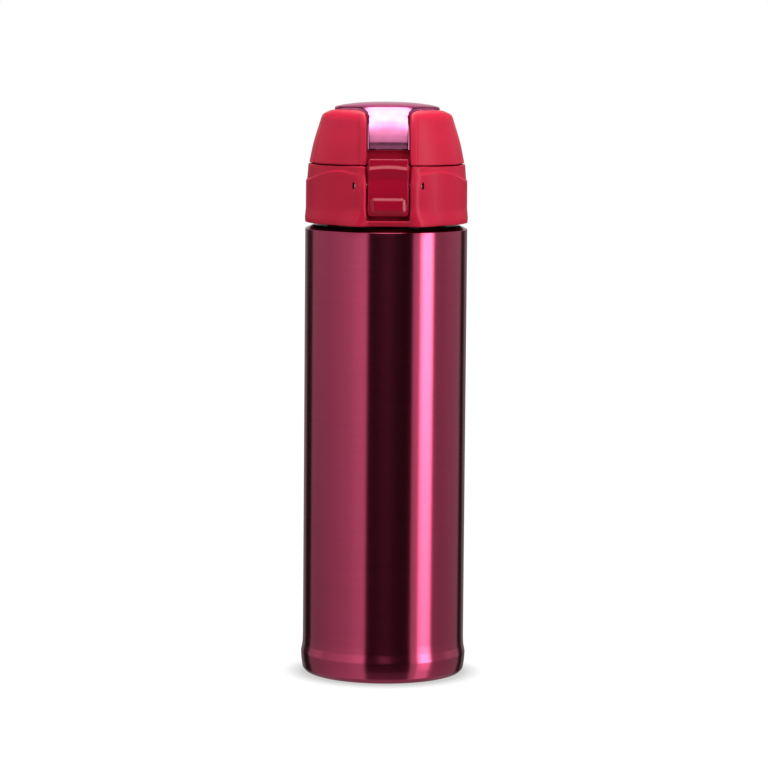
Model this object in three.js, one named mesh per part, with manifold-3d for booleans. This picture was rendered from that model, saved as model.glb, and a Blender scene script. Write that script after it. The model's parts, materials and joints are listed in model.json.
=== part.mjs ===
// Vacuum-insulated bottle with a screw cap and a push-button flip lid.
// Millimetres, +Z up, origin at the centre of the base, the button faces -Y, the lid hinge +Y.
import * as THREE from "three";
import { mergeVertices } from "three/addons/utils/BufferGeometryUtils.js";
import { ConvexGeometry } from "three/addons/geometries/ConvexGeometry.js";
import Module from "manifold-3d";

const wasm = await Module();
wasm.setup();

// ---- driving dimensions ----
const SIDES = 32; // facets round the large turned parts
const SMALL_SIDES = 24;
const GAP = 0.3; // between pieces that touch on the real bottle

const BODY_R = 32.5;
const FLARE_R = 33.2; // bulge round the foot
const FOOT_INNER_R = 29.4; // the flat ring it stands on runs out from here
const SHELL_WALL = 0.5;
const SHOULDER_Z = 181.1;
const SHOULDER_CORNER_R = 2.3;
const NECK_R = 22.8;
const LIP_Z = 198;

const LINER_R = 29; // inside radius of the inner bottle
const LINER_WALL = 0.45;
const LINER_NECK_R = 20.6;

const THREAD_LEAD = 8; // two starts, 4 mm apart
const THREAD_STARTS = 2;
const THREAD_STEPS = 24; // facets along one turn
const NECK_BEAD = { r: 0.9, centre: 23.1, z: 186, turns: 0.9 };
const CAP_BEAD = { r: 0.8, centre: 24.3, drop: 1.7, delay: 0.25, turns: 0.75 };

const CAP_BOTTOM_Z = 181.8;
const CAP_TOP_Z = 205.5;
const CAP_INNER_R = 30.1;
const CAP_FLANGE_R = 27.4;
const DECK_Z = 203.2; // top of the stopper
const SKIRT_R = 27; // outside of the threaded skirt
const PLUG_R = 19.6;

const BOSS_HALF = 10.4; // half width between the ridges that frame the button
const POCKET_HALF = 8.65;
const POCKET_BOTTOM_Z = 184.3;
const BOSS_Y = -32.6;

const LID_BOTTOM_Z = 206.2;
const TOP_Z = 230.2;
const TRIM_R = 21;
const TONGUE_HALF = 8.3;
const TONGUE_END_Z = 211.9;
const TRIM_THICK = 0.9;

const HINGE = { y: 31, z: 205.9, barrel: 2.6, relief: 2.95, bore: 1.2, pin: 0.9 };
const KNUCKLE = { from: 3.6, to: 7.6 }; // distance from the middle plane, on the lid
const LUG = { from: 8.3, to: 12.5 }; // the same, on the cap
const LID_SPRING = { coil: 1.75, wire: 0.35, pitch: 1.2, turns: 4.25, leg: 1.9 };
const BUTTON_AXIS = { y: -29.4, z: 197.9, boss: 1.9, bore: 1.15, pin: 0.8, halfLength: 12.4 };
const BUTTON_SPRING = { z: 189.2, coil: 1.7, wire: 0.22, turns: 3, seatR: 2.3, seatDepth: 1.2 };
const BUTTON_BACK_Y = -30;

const SPOUT_Y = -6.5;
const SPOUT_BORE = 6.2;
const SPOUT_TOP_Z = 215.3;
const VENT_Y = 11;

// ---- materials ----
const material = (color, roughness, metalness = 0) =>
  new THREE.MeshStandardMaterial({ color, roughness, metalness });
const RASPBERRY_STEEL = () => material(0x9a2a50, 0.3, 1);
const BARE_STEEL = () => material(0xb9b9bc, 0.35, 1);
const RED_PLASTIC = () => material(0xb81f38, 0.25);
const PINK_CHROME = () => material(0xeab0cf, 0.12, 1);
const GREY_PLASTIC = () => material(0x8f8d90, 0.45);
const SILICONE = () => material(0xe9e4e2, 0.6);

// ---- geometry helpers ----
const v2 = (x, y) => new THREE.Vector2(x, y);

function arc(cx, cy, r, from, to, steps) {
  const points = [];
  for (let i = 0; i <= steps; i++) {
    const a = THREE.MathUtils.degToRad(from + ((to - from) * i) / steps);
    points.push(v2(cx + r * Math.cos(a), cy + r * Math.sin(a)));
  }
  return points;
}

// Turned solid about +Z from [radius, height] points; a profile off the axis closes on itself.
function turned(profile, sides = SIDES) {
  let points = profile.map((p) => (p.isVector2 ? p : v2(...p)));
  if (THREE.ShapeUtils.area(points) < 0) points = points.reverse();
  const hollow = points[0].x > 0 || points.at(-1).x > 0;
  if (hollow) points = [...points, points[0].clone()];
  return new THREE.LatheGeometry(points, sides).rotateX(Math.PI / 2);
}

const rod = (r, halfLength, y, z, sides = SMALL_SIDES) =>
  new THREE.CylinderGeometry(r, r, 2 * halfLength, sides).rotateZ(Math.PI / 2).translate(0, y, z);

// Rod along X that fills from <= |x| <= to on one side of the middle plane.
const halfRod = (r, from, to, side, y, z) =>
  rod(r, (to - from) / 2, y, z).translate((side * (from + to)) / 2, 0, 0);

const post = (r, z0, z1, y = 0, sides = SMALL_SIDES) =>
  new THREE.CylinderGeometry(r, r, z1 - z0, sides)
    .rotateX(Math.PI / 2)
    .translate(0, y, (z0 + z1) / 2);

const block = (halfX, y0, y1, z0, z1) =>
  new THREE.BoxGeometry(2 * halfX, y1 - y0, z1 - z0).translate(0, (y0 + y1) / 2, (z0 + z1) / 2);

// Side view outline of [y, z] points, given the width 2 * halfX.
function acrossX(outline, halfX, holes = []) {
  const shape = new THREE.Shape(outline.map((p) => v2(...p)));
  shape.holes = holes.map((h) => new THREE.Path(h));
  const basis = new THREE.Matrix4().makeBasis(
    new THREE.Vector3(0, 1, 0),
    new THREE.Vector3(0, 0, 1),
    new THREE.Vector3(1, 0, 0),
  );
  return new THREE.ExtrudeGeometry(shape, { depth: 2 * halfX, bevelEnabled: false })
    .translate(0, 0, -halfX)
    .applyMatrix4(basis);
}

// Front view outline (a Shape of x, z), between two depths.
const alongY = (shape, y0, y1) =>
  new THREE.ExtrudeGeometry(shape, { depth: y1 - y0, bevelEnabled: false, curveSegments: 4 })
    .rotateX(Math.PI / 2)
    .translate(0, y1, 0);

// Convex block through the given [halfX, y, z] points, the same on both sides.
const hull = (corners) =>
  new ConvexGeometry(
    corners.flatMap(([x, y, z]) => [new THREE.Vector3(x, y, z), new THREE.Vector3(-x, y, z)]),
  );

class Coil extends THREE.Curve {
  // Helix of the given radius about +Z, with straight tangent legs at both ends.
  constructor(radius, pitch, turns, leg = 0, start = 0) {
    super();
    Object.assign(this, { radius, pitch, turns, leg, start });
  }
  getPoint(t, target = new THREE.Vector3()) {
    const arcLength = 2 * Math.PI * this.turns * this.radius;
    const s = t * (arcLength + 2 * this.leg) - this.leg;
    const onArc = THREE.MathUtils.clamp(s, 0, arcLength);
    const a = this.start + onArc / this.radius;
    const rise = (this.pitch * (a - this.start)) / (2 * Math.PI);
    const tangent = new THREE.Vector3(-Math.sin(a), Math.cos(a), 0);
    target.set(this.radius * Math.cos(a), this.radius * Math.sin(a), rise);
    return target.addScaledVector(tangent, s - onArc);
  }
}

function wire(curve, r, steps, sides = 6) {
  const section = new THREE.Shape(arc(0, 0, r, 0, 360 - 360 / sides, sides - 1));
  return new THREE.ExtrudeGeometry(section, { steps, extrudePath: curve });
}

function solid(geometry) {
  const bare = geometry.clone();
  ["normal", "uv"].forEach((name) => bare.deleteAttribute(name));
  const merged = mergeVertices(bare, 1e-4);
  return new wasm.Manifold(
    new wasm.Mesh({
      numProp: 3,
      vertProperties: merged.attributes.position.array,
      triVerts: new Uint32Array(merged.index.array),
    }),
  );
}

function join(base, parts = [], cuts = []) {
  let made = solid(base);
  parts.forEach((g) => (made = made.add(solid(g))));
  cuts.forEach((g) => (made = made.subtract(solid(g))));
  return made;
}

function geometryOf(manifold) {
  const mesh = manifold.getMesh();
  const geometry = new THREE.BufferGeometry();
  geometry.setAttribute("position", new THREE.BufferAttribute(mesh.vertProperties, 3));
  geometry.setIndex(new THREE.BufferAttribute(mesh.triVerts, 1));
  geometry.computeVertexNormals();
  return geometry;
}

function piece(parent, name, shape, mat) {
  const geometry = shape.isBufferGeometry ? shape : geometryOf(shape);
  const mesh = new THREE.Mesh(geometry, mat);
  mesh.name = name;
  parent.add(mesh);
  return mesh;
}

// ---- thread beads, shared by the neck and the cap ----
// drop lowers the bead and delay starts it later, in turns, on the same right-hand helix.
function threadBeads({ r, centre, z = NECK_BEAD.z, turns, drop = 0, delay = 0 }) {
  const beads = [];
  for (let start = 0; start < THREAD_STARTS; start++) {
    const angle = 2 * Math.PI * (start / THREAD_STARTS + delay);
    const helix = new Coil(centre, THREAD_LEAD, turns, 0, angle);
    const bead = wire(helix, r, Math.round(THREAD_STEPS * turns));
    beads.push(bead.translate(0, 0, z - drop + THREAD_LEAD * delay));
  }
  return beads;
}

// ---- flask ----
function outerShell() {
  const wall = SHELL_WALL;
  const corner = BODY_R - SHOULDER_CORNER_R;
  const outside = [
    [FOOT_INNER_R, 0],
    [31.25, 0],
    [32.2, 0.75],
    [32.6, 1.8],
    [FLARE_R - 0.2, 5],
    [FLARE_R, 8.2],
    [FLARE_R - 0.2, 10],
    [BODY_R + 0.12, 11.8],
    [BODY_R, 14],
    ...arc(corner, SHOULDER_Z - SHOULDER_CORNER_R, SHOULDER_CORNER_R, 0, 90, 3),
    [24.3, SHOULDER_Z],
    [NECK_R + 0.4, SHOULDER_Z + 0.6],
    [NECK_R, SHOULDER_Z + 1.7],
    [NECK_R, LIP_Z - 0.6],
    [NECK_R - 0.6, LIP_Z],
    [LINER_NECK_R + 1.1, LIP_Z],
  ];
  const inside = [
    [LINER_NECK_R + 1.1, LIP_Z - wall],
    [NECK_R - wall, LIP_Z - wall - 0.4],
    [NECK_R - wall, SHOULDER_Z + 1.2],
    [24, SHOULDER_Z - wall],
    [corner, SHOULDER_Z - wall],
    [BODY_R - wall, SHOULDER_Z - SHOULDER_CORNER_R],
    [BODY_R - wall, 14],
    [FLARE_R - wall, 8.2],
    [32.1, 1.9],
    [31.2, wall],
    [FOOT_INNER_R + wall, wall],
    [FOOT_INNER_R + wall, 3.2],
    [FOOT_INNER_R, 3.2],
  ];
  return join(turned([...outside, ...inside]), threadBeads(NECK_BEAD));
}

const outerBottom = () =>
  turned([
    [1.3, 3.3],
    [8.6, 3.3],
    [9.6, 2],
    [FOOT_INNER_R - GAP, 2],
    [FOOT_INNER_R - GAP, 2.5],
    [10, 2.5],
    [9, 3.8],
    [1.3, 3.8],
  ]);

const vacuumSeal = () =>
  turned([[0, 2.3], [3.6, 2.3], [4, 2.7], [3.6, 3], [1, 3], [1, 4.4], [0, 4.4]], 16);

const basePlate = () =>
  turned([
    [0, 0.9],
    [27.6, 0.9],
    [FOOT_INNER_R - GAP, 0.6],
    [FOOT_INNER_R - GAP, 1.1],
    [27.8, 1.4],
    [0, 1.4],
  ]);

function innerLiner() {
  const outer = LINER_R + LINER_WALL;
  const neck = LINER_NECK_R + LINER_WALL;
  return turned([
    [outer, 17.3],
    [outer, 171.5],
    [28.75, 174.6],
    [26.65, 176.9],
    [22.3, 178.9],
    [neck, 181],
    [neck, LIP_Z],
    [LINER_NECK_R, LIP_Z],
    [LINER_NECK_R, 180.8],
    [21.95, 178.4],
    [26.35, 176.45],
    [28.35, 174.35],
    [LINER_R, 171.4],
    [LINER_R, 17.3],
  ]);
}

const linerBottom = () =>
  turned([
    [0, 6.8],
    [19, 6.8],
    [25.6, 8.6],
    [28.5, 11.8],
    [LINER_R + LINER_WALL, 15.5],
    [LINER_R + LINER_WALL, 17],
    [LINER_R, 17],
    [LINER_R, 15.5],
    [28.1, 12.05],
    [25.3, 9.05],
    [19, 7.3],
    [0, 7.3],
  ]);

const foilShield = () => turned([[30.5, 18], [30.7, 18], [30.7, 170], [30.5, 170]]);

const getter = () => turned([[0, 5], [3.6, 5], [4, 5.4], [4, 6.5], [0, 6.5]], 16);

// ---- cap ----
const mouthGasket = () =>
  turned([
    [PLUG_R + 0.4, LIP_Z + GAP],
    [NECK_R + 0.5, LIP_Z + GAP],
    [NECK_R + 0.5, LIP_Z + 2.4],
    [PLUG_R + 0.4, LIP_Z + 2.4],
  ]);

function capHousing() {
  const ring = turned([
    [30.6, CAP_BOTTOM_Z],
    [32.2, CAP_BOTTOM_Z],
    [32.6, CAP_BOTTOM_Z + 0.4],
    [32.65, 183.8],
    [32.42, 187],
    [32.3, 192],
    [32.3, 198.4],
    [31.87, 199],
    [31.45, CAP_TOP_Z - 0.6],
    [31, CAP_TOP_Z],
    [CAP_FLANGE_R, CAP_TOP_Z],
    [CAP_FLANGE_R, DECK_Z + GAP],
    [CAP_INNER_R, DECK_Z + GAP],
    [CAP_INNER_R, 182.4],
  ]);
  const foot = hull([
    [13.6, BOSS_Y + 1.4, CAP_BOTTOM_Z],
    [15.6, -27.4, CAP_BOTTOM_Z],
    [BOSS_HALF, BOSS_Y, 188],
    [14, -28.6, 190],
    [14, -27.4, 190],
    [BOSS_HALF, BOSS_Y, CAP_BOTTOM_Z + 0.6],
  ]);
  const boss = hull([
    [BOSS_HALF, BOSS_Y, 186],
    [14, -28.6, 186],
    [14, -27.4, 186],
    [BOSS_HALF, BOSS_Y, 199],
    [14, -28.6, 199],
    [BOSS_HALF, -31.5, CAP_TOP_Z],
    [13.4, -28.2, CAP_TOP_Z],
    [13.4, -27.4, CAP_TOP_Z],
  ]);
  const lugs = [-1, 1].map((side) => halfRod(HINGE.barrel, LUG.from, LUG.to, side, HINGE.y, HINGE.z));
  return join(ring, [foot, boss, ...lugs], [
    block(POCKET_HALF, -40, -26.9, POCKET_BOTTOM_Z, CAP_TOP_Z + 1),
    turned([[0, 200.9], [CAP_INNER_R, 200.9], [CAP_INNER_R, DECK_Z + GAP], [0, DECK_Z + GAP]]),
    rod(HINGE.relief, KNUCKLE.to + 0.4, HINGE.y, HINGE.z),
    rod(HINGE.bore, 20, HINGE.y, HINGE.z, 12),
    rod(BUTTON_AXIS.bore, 20, BUTTON_AXIS.y, BUTTON_AXIS.z, 12),
  ]);
}

function stopper() {
  const body = turned([
    [0, 201.2],
    [17.4, 201.2],
    [17.4, 188.6],
    [18, 188],
    [19, 188],
    [PLUG_R, 188.6],
    [PLUG_R, 200.7],
    [24.9, 200.7],
    [24.9, 184.6],
    [25.4, 184],
    [SKIRT_R, 184],
    [SKIRT_R, 201.2],
    [29.7, 201.2],
    [29.7, DECK_Z],
    [0, DECK_Z],
  ]);
  return join(body, threadBeads(CAP_BEAD), [
    post(7.9, 198, 206, SPOUT_Y),
    post(9.7, 202, 206, SPOUT_Y),
    post(1.7, 198, 206, VENT_Y, 12),
    block(9.2, -40, -28.4, 200.9, DECK_Z + 1),
    rod(HINGE.relief, LUG.to + 0.4, HINGE.y, HINGE.z),
  ]);
}

const spout = () =>
  turned(
    [
      [SPOUT_BORE, 196.5],
      [7.5, 196.5],
      [7.5, DECK_Z + GAP],
      [10.2, DECK_Z + GAP],
      [10.2, 204.3],
      [8.7, 205],
      [7.8, 207],
      [7.5, 213],
      [8.1, SPOUT_TOP_Z - 1.1],
      [7.7, SPOUT_TOP_Z - 0.2],
      [7.1, SPOUT_TOP_Z],
      [SPOUT_BORE, SPOUT_TOP_Z - 0.9],
    ],
    SMALL_SIDES,
  ).translate(0, SPOUT_Y, 0);

const spoutGasket = () =>
  turned([[8.2, 202.3], [9.4, 202.3], [9.4, DECK_Z], [8.2, DECK_Z]], SMALL_SIDES).translate(0, SPOUT_Y, 0);

const airVent = () =>
  turned(
    [
      [0.6, 199.3],
      [1.4, 199.3],
      [2.2, 200.8],
      [1.4, 200.9],
      [1.4, DECK_Z + GAP],
      [2.8, DECK_Z + GAP],
      [2.8, 204.1],
      [2.2, 204.5],
      [0.6, 204.5],
    ],
    12,
  ).translate(0, VENT_Y, 0);

function lidSpring() {
  const { coil, wire: r, pitch, turns, leg } = LID_SPRING;
  return wire(new Coil(coil, pitch, turns, leg), r, 50, 5)
    .translate(0, 0, (-pitch * turns) / 2)
    .rotateY(Math.PI / 2)
    .translate(0, HINGE.y, HINGE.z);
}

function buttonSpring() {
  const { z, coil, wire: r, turns, seatDepth } = BUTTON_SPRING;
  const back = -SKIRT_R - GAP - r;
  const front = BUTTON_BACK_Y - seatDepth + GAP + r;
  return wire(new Coil(coil, (back - front) / turns, turns), r, 12 * turns, 5)
    .rotateX(-Math.PI / 2)
    .translate(0, front, z);
}

const buttonPin = () =>
  rod(BUTTON_AXIS.pin, BUTTON_AXIS.halfLength, BUTTON_AXIS.y, BUTTON_AXIS.z, 16);

// ---- release button ----
function releaseButton() {
  const axis = BUTTON_AXIS;
  const side = [
    [-31.9, 185.9],
    [-32.5, 186.5],
    [-32.5, 194.4],
    [-31.9, 195],
    [-31.9, 202.2],
    [-32.3, 204.6],
    [-32.9, 205.7],
    [-32.1, 208.6],
    [-30.4, 208.6],
    [-29.7, 207.9],
    [-30.1, 207.2],
    [-30.3, 203],
    [BUTTON_BACK_Y, 199.5],
    ...arc(axis.y, axis.z, axis.boss, 75, -75, 4).map((p) => [p.x, p.y]),
    [BUTTON_BACK_Y, 196],
    [BUTTON_BACK_Y, 186.2],
  ];
  const front = new THREE.Shape();
  front.moveTo(-7.9, 208.6);
  front.lineTo(-8.25, 187.5);
  front.quadraticCurveTo(-8.25, 185.9, -6.65, 185.9);
  front.lineTo(6.65, 185.9);
  front.quadraticCurveTo(8.25, 185.9, 8.25, 187.5);
  front.lineTo(7.9, 208.6);
  const outline = alongY(front, -36, -26);
  const pad = hull([
    [6.8, -32.4, 187.3],
    [6.8, -32.4, 193.6],
    [6.2, -33, 187.9],
    [6.2, -33, 193],
  ]);
  const { seatR, seatDepth, z } = BUTTON_SPRING;
  const seat = new THREE.CylinderGeometry(seatR, seatR, seatDepth, 12);
  seat.translate(0, BUTTON_BACK_Y - seatDepth / 2, z);
  return solid(acrossX(side, 9))
    .intersect(solid(outline))
    .add(solid(pad))
    .subtract(solid(rod(axis.bore, 12, axis.y, axis.z, 12)))
    .subtract(solid(seat));
}

// ---- lid ----
function lidShell() {
  const cavity = turned([
    [0, 200],
    [29.1, 200],
    [29.1, LID_BOTTOM_Z],
    [28.85, 207.8],
    [27.3, 214.2],
    [25.5, 220.6],
    [24.3, 222.4],
    [22, 223.8],
    [12, 226],
    [0, 226.6],
  ]);
  const outside = turned([
    [0, LID_BOTTOM_Z],
    [30.7, LID_BOTTOM_Z],
    [31.1, LID_BOTTOM_Z + 0.4],
    [30.85, 207.8],
    [29.32, 214.2],
    [27.49, 220.6],
    [26.66, 223],
    [25.88, 224.6],
    [24.28, 226.1],
    [TRIM_R, 227.6],
    [0, 229],
  ]);
  const trimRecess = turned([
    [0, 228.6],
    [7, 228.4],
    [14, 227.7],
    [TRIM_R + GAP, 226.2],
    [TRIM_R + GAP, TOP_Z],
    [0, TOP_Z],
  ]);
  const boss = hull([
    [BOSS_HALF, -31.3, LID_BOTTOM_Z],
    [11.9, -28.8, LID_BOTTOM_Z],
    [11.9, -24, LID_BOTTOM_Z],
    [BOSS_HALF, -27, 222.5],
    [11.7, -24.5, 222.5],
    [BOSS_HALF, -25.4, 225],
    [BOSS_HALF, -21.5, 227.2],
    [11.4, -20.5, 226.8],
  ]);
  const latchWall = block(BOSS_HALF, -28.8, -27.6, LID_BOTTOM_Z, 213.5);
  const catchLedge = block(5, -29.3, -28.6, 206.5, 207.3);
  const knuckles = [-1, 1].map((side) =>
    halfRod(HINGE.barrel, KNUCKLE.from, KNUCKLE.to, side, HINGE.y, HINGE.z),
  );
  const lugReliefs = [-1, 1].map((side) =>
    halfRod(HINGE.relief, LUG.from - GAP, LUG.to + GAP, side, HINGE.y, HINGE.z),
  );
  const channel = acrossX(channelOutline(), TONGUE_HALF + GAP);
  let shell = join(outside, [boss], [cavity, trimRecess, channel]).add(solid(latchWall));
  shell = shell.subtract(solid(block(POCKET_HALF, -40, -28.8, 200, TONGUE_END_Z)));
  shell = shell.add(solid(catchLedge));
  knuckles.forEach((g) => (shell = shell.add(solid(g))));
  const cuts = [
    ...lugReliefs,
    rod(HINGE.relief, KNUCKLE.from - GAP, HINGE.y, HINGE.z),
    rod(HINGE.bore, 20, HINGE.y, HINGE.z, 12),
  ];
  cuts.forEach((g) => (shell = shell.subtract(solid(g))));
  return shell;
}

// Side view of the strip that runs from the lid's top down its front: its outer line.
const TONGUE_LINE = [
  [-17, 229.1],
  [-20.4, 228.4],
  [-23.6, 226.9],
  [-25.7, 225.2],
  [-26.9, 223],
  [-30.4, TONGUE_END_Z],
];

// The same line sunk into the lid by a depth.
function sunk(line, depth) {
  return line.map(([y, z], i) => {
    const [y0, z0] = line[Math.max(i - 1, 0)];
    const [y1, z1] = line[Math.min(i + 1, line.length - 1)];
    const length = Math.hypot(y1 - y0, z1 - z0);
    return [y + (depth * (z0 - z1)) / length, z + (depth * (y1 - y0)) / length];
  });
}

const tongueOutline = () => [...TONGUE_LINE, ...sunk(TONGUE_LINE, TRIM_THICK).reverse()];

function channelOutline() {
  const floor = sunk(TONGUE_LINE, TRIM_THICK + GAP);
  const [frontY, overTopZ] = [-34, 233];
  return [[frontY, floor.at(-1)[1]], [frontY, overTopZ], [TONGUE_LINE[0][0], overTopZ], ...floor];
}

function lidTrim() {
  const disc = turned([
    [0, 228.9],
    [7, 228.7],
    [14, 228],
    [TRIM_R, 226.6],
    [TRIM_R, 227.9],
    [20.5, 228.4],
    [17.4, 229.1],
    [12.6, 229.75],
    [7.35, 230.1],
    [0, TOP_Z],
  ]);
  return join(disc, [acrossX(tongueOutline(), TONGUE_HALF)]);
}

function lidLiner() {
  const cup = turned([
    [0, 220],
    [23.2, 220],
    [25.3, 213],
    [25.8, 206.8],
    [27, 206.8],
    [26.6, 213],
    [24.6, 220.4],
    [23.6, 221.4],
    [0, 221.4],
  ]);
  return join(cup, [post(5, 218.2, 220.5, SPOUT_Y)]);
}

const spoutSeal = () =>
  turned(
    [
      [0, 214],
      [4.2, 214],
      [5.2, SPOUT_TOP_Z + GAP],
      [8.8, SPOUT_TOP_Z + GAP],
      [8.8, 219.7],
      [5.3, 219.7],
      [5.3, 217.9],
      [0, 217.9],
    ],
    SMALL_SIDES,
  ).translate(0, SPOUT_Y, 0);

// ---- assembly ----
const bottle = new THREE.Group();
const flask = new THREE.Group();
const sealRing = new THREE.Group();
const cap = new THREE.Group();
const lid = new THREE.Group();
const button = new THREE.Group();
bottle.add(flask, sealRing, cap);
cap.add(lid, button);

piece(flask, "outer_shell", outerShell(), RASPBERRY_STEEL());
piece(flask, "outer_bottom", outerBottom(), BARE_STEEL());
piece(flask, "base_plate", basePlate(), BARE_STEEL());
piece(flask, "vacuum_seal", vacuumSeal(), BARE_STEEL());
piece(flask, "inner_liner", innerLiner(), BARE_STEEL());
piece(flask, "liner_bottom", linerBottom(), BARE_STEEL());
piece(flask, "foil_shield", foilShield(), BARE_STEEL());
piece(flask, "getter", getter(), BARE_STEEL());

piece(sealRing, "mouth_gasket", mouthGasket(), SILICONE());

piece(cap, "cap_housing", capHousing(), RED_PLASTIC());
piece(cap, "stopper", stopper(), GREY_PLASTIC());
piece(cap, "spout", spout(), GREY_PLASTIC());
piece(cap, "spout_gasket", spoutGasket(), SILICONE());
piece(cap, "air_vent", airVent(), SILICONE());
piece(cap, "hinge_pin", rod(HINGE.pin, LUG.to - GAP, HINGE.y, HINGE.z, 16), BARE_STEEL());
piece(cap, "lid_spring", lidSpring(), BARE_STEEL());
piece(cap, "button_pin", buttonPin(), BARE_STEEL());
piece(cap, "button_spring", buttonSpring(), BARE_STEEL());

piece(lid, "lid_shell", lidShell(), RED_PLASTIC());
piece(lid, "lid_trim", lidTrim(), PINK_CHROME());
piece(lid, "lid_liner", lidLiner(), GREY_PLASTIC());
piece(lid, "spout_seal", spoutSeal(), SILICONE());

piece(button, "release_button", releaseButton(), RED_PLASTIC());

export default bottle;
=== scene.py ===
"""Insulated flip-top bottle: the fine meshes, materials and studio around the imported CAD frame.

Meshes are worked out in millimetres in the frame's own axes (+Z up, button towards -Y) and written in metres.
Turned pieces are lathes of filleted outlines. The moulded pieces (cap, lid, trim, button) are distance fields
of welded and cut solids, meshed on a fine grid and pulled onto the exact surface.
"""
import json
import math

import bpy
import numpy as np
from mathutils import Matrix, Vector


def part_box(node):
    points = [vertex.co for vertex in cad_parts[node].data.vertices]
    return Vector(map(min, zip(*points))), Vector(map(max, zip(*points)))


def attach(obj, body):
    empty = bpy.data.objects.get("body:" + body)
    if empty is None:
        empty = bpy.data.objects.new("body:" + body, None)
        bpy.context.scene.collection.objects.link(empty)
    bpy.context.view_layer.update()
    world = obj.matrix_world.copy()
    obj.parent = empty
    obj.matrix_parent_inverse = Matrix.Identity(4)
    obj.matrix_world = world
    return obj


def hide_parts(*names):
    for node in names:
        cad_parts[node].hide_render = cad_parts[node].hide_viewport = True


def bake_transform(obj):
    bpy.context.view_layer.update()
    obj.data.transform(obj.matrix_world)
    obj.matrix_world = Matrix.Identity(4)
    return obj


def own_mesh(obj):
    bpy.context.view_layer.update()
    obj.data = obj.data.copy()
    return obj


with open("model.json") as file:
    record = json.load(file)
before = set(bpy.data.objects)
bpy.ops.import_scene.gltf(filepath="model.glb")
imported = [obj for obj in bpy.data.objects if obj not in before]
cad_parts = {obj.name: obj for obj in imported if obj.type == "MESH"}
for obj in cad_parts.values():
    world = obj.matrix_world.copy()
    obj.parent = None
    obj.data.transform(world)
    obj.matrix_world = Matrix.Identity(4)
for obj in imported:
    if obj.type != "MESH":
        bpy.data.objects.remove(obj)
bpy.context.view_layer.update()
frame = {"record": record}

MM = 0.001
GRID_STEP = 0.3  # mm between the grid points of a moulded piece
ROUND_STEPS = 256  # facets round the large turned pieces


# ---------------------------------------------------------------- frame dimensions, in mm
def box_mm(node):
    low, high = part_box(node)
    return np.array(low) / MM, np.array(high) / MM


def joint(name):
    return next(j for j in frame["record"]["behaviour"]["joints"] if j["name"] == name)


SHELL_HIGH = box_mm("outer_shell")[1]
CAP_LOW, CAP_HIGH = box_mm("cap_housing")
TRIM_LOW, TRIM_HIGH = box_mm("lid_trim")
BUTTON_LOW, BUTTON_HIGH = box_mm("release_button")
HINGE_Y, HINGE_Z = (v / MM for v in joint("lid_hinge")["pos_m"][1:])
PIVOT_Y, PIVOT_Z = (v / MM for v in joint("button_press")["pos_m"][1:])

BODY_R = 32.5
FLARE_R = SHELL_HIGH[0]  # the ring just above the foot
LIP_Z = SHELL_HIGH[2]  # top of the neck
SHOULDER_Z = 181.1  # top of the lacquered body
CAP_BOTTOM_Z = CAP_LOW[2]
CAP_TOP_Z = 205.5
LID_BOTTOM_Z = 206.2
TOP_Z = TRIM_HIGH[2]
DISC_R = 21.0  # plated disc on the lid
TONGUE_HALF = 8.3  # half width of the plated strip
TONGUE_END_Z = 211.9
PANEL_AZIMUTH = 66  # degrees from the button to the front panel's edge
CATCH_Z = 206.9  # ledge that the button's top holds
FRAME_Y = -33.0  # front of the frame round the button
POCKET_HALF = 8.65  # half width of the button's pocket
POCKET_BOTTOM_Z = 184.3
POCKET_BACK_Y = -27.9
CAP_INNER_R = 30.1
CAP_MOUTH_R = 27.4
CAP_SEAT_Z = 203.5  # underside of the cap's rim, just over the stopper's deck
ARCH_HEIGHT = 4.4  # rise of the skirt's top edge
ARCH_AZIMUTH = 36  # degrees from the button to the arch's crown
SPOUT_Y = -6.5
VENT_Y = 11.0
BUTTON_SPRING_Z = 189.2
PAD_Z = 190.3
THREAD_STARTS = 2
THREAD_LEAD = 8.0  # mm a turn
KNUCKLE_R = 2.6
KNUCKLE_ROOM_R = 2.95  # space cut for the other side's knuckle
CAP_KNUCKLES = (8.3, 12.5)  # from the middle plane
LID_KNUCKLES = (3.6, 7.6)
PIN_BORE_R = 1.15
BUTTON_PIN_R = 1.05
BUTTON_PIN_HALF = 13.35
BUTTON_PIN_HOLE_HALF = 13.9


# ---------------------------------------------------------------- outlines and lathes
def fillet(corners, closed=True, step_deg=6):
    """Outline through (u, v, radius) corners, each rounded by an arc of its radius."""
    points = []
    n = len(corners)
    for i, (u, v, radius) in enumerate(corners):
        here = np.array((u, v), float)
        if radius <= 0 or (not closed and i in (0, n - 1)):
            points.append(here)
            continue
        before = np.array(corners[i - 1][:2], float) - here
        after = np.array(corners[(i + 1) % n][:2], float) - here
        la, lb = np.linalg.norm(before), np.linalg.norm(after)
        before, after = before / la, after / lb
        half = math.acos(np.clip(before @ after, -1, 1)) / 2
        turn = math.pi - 2 * half
        if turn < 1e-3:
            points.append(here)
            continue
        reach = min(radius / math.tan(half), 0.49 * la, 0.49 * lb)
        radius = reach * math.tan(half)
        middle = (before + after) / np.linalg.norm(before + after)
        centre = here + middle * radius / math.sin(half)
        start, end = here + before * reach - centre, here + after * reach - centre
        steps = max(2, math.ceil(math.degrees(turn) / step_deg))
        for k in range(steps + 1):
            t = k / steps
            weight = math.sin((1 - t) * turn), math.sin(t * turn)
            points.append(centre + (start * weight[0] + end * weight[1]) / math.sin(turn))
    return np.array(points)


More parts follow.
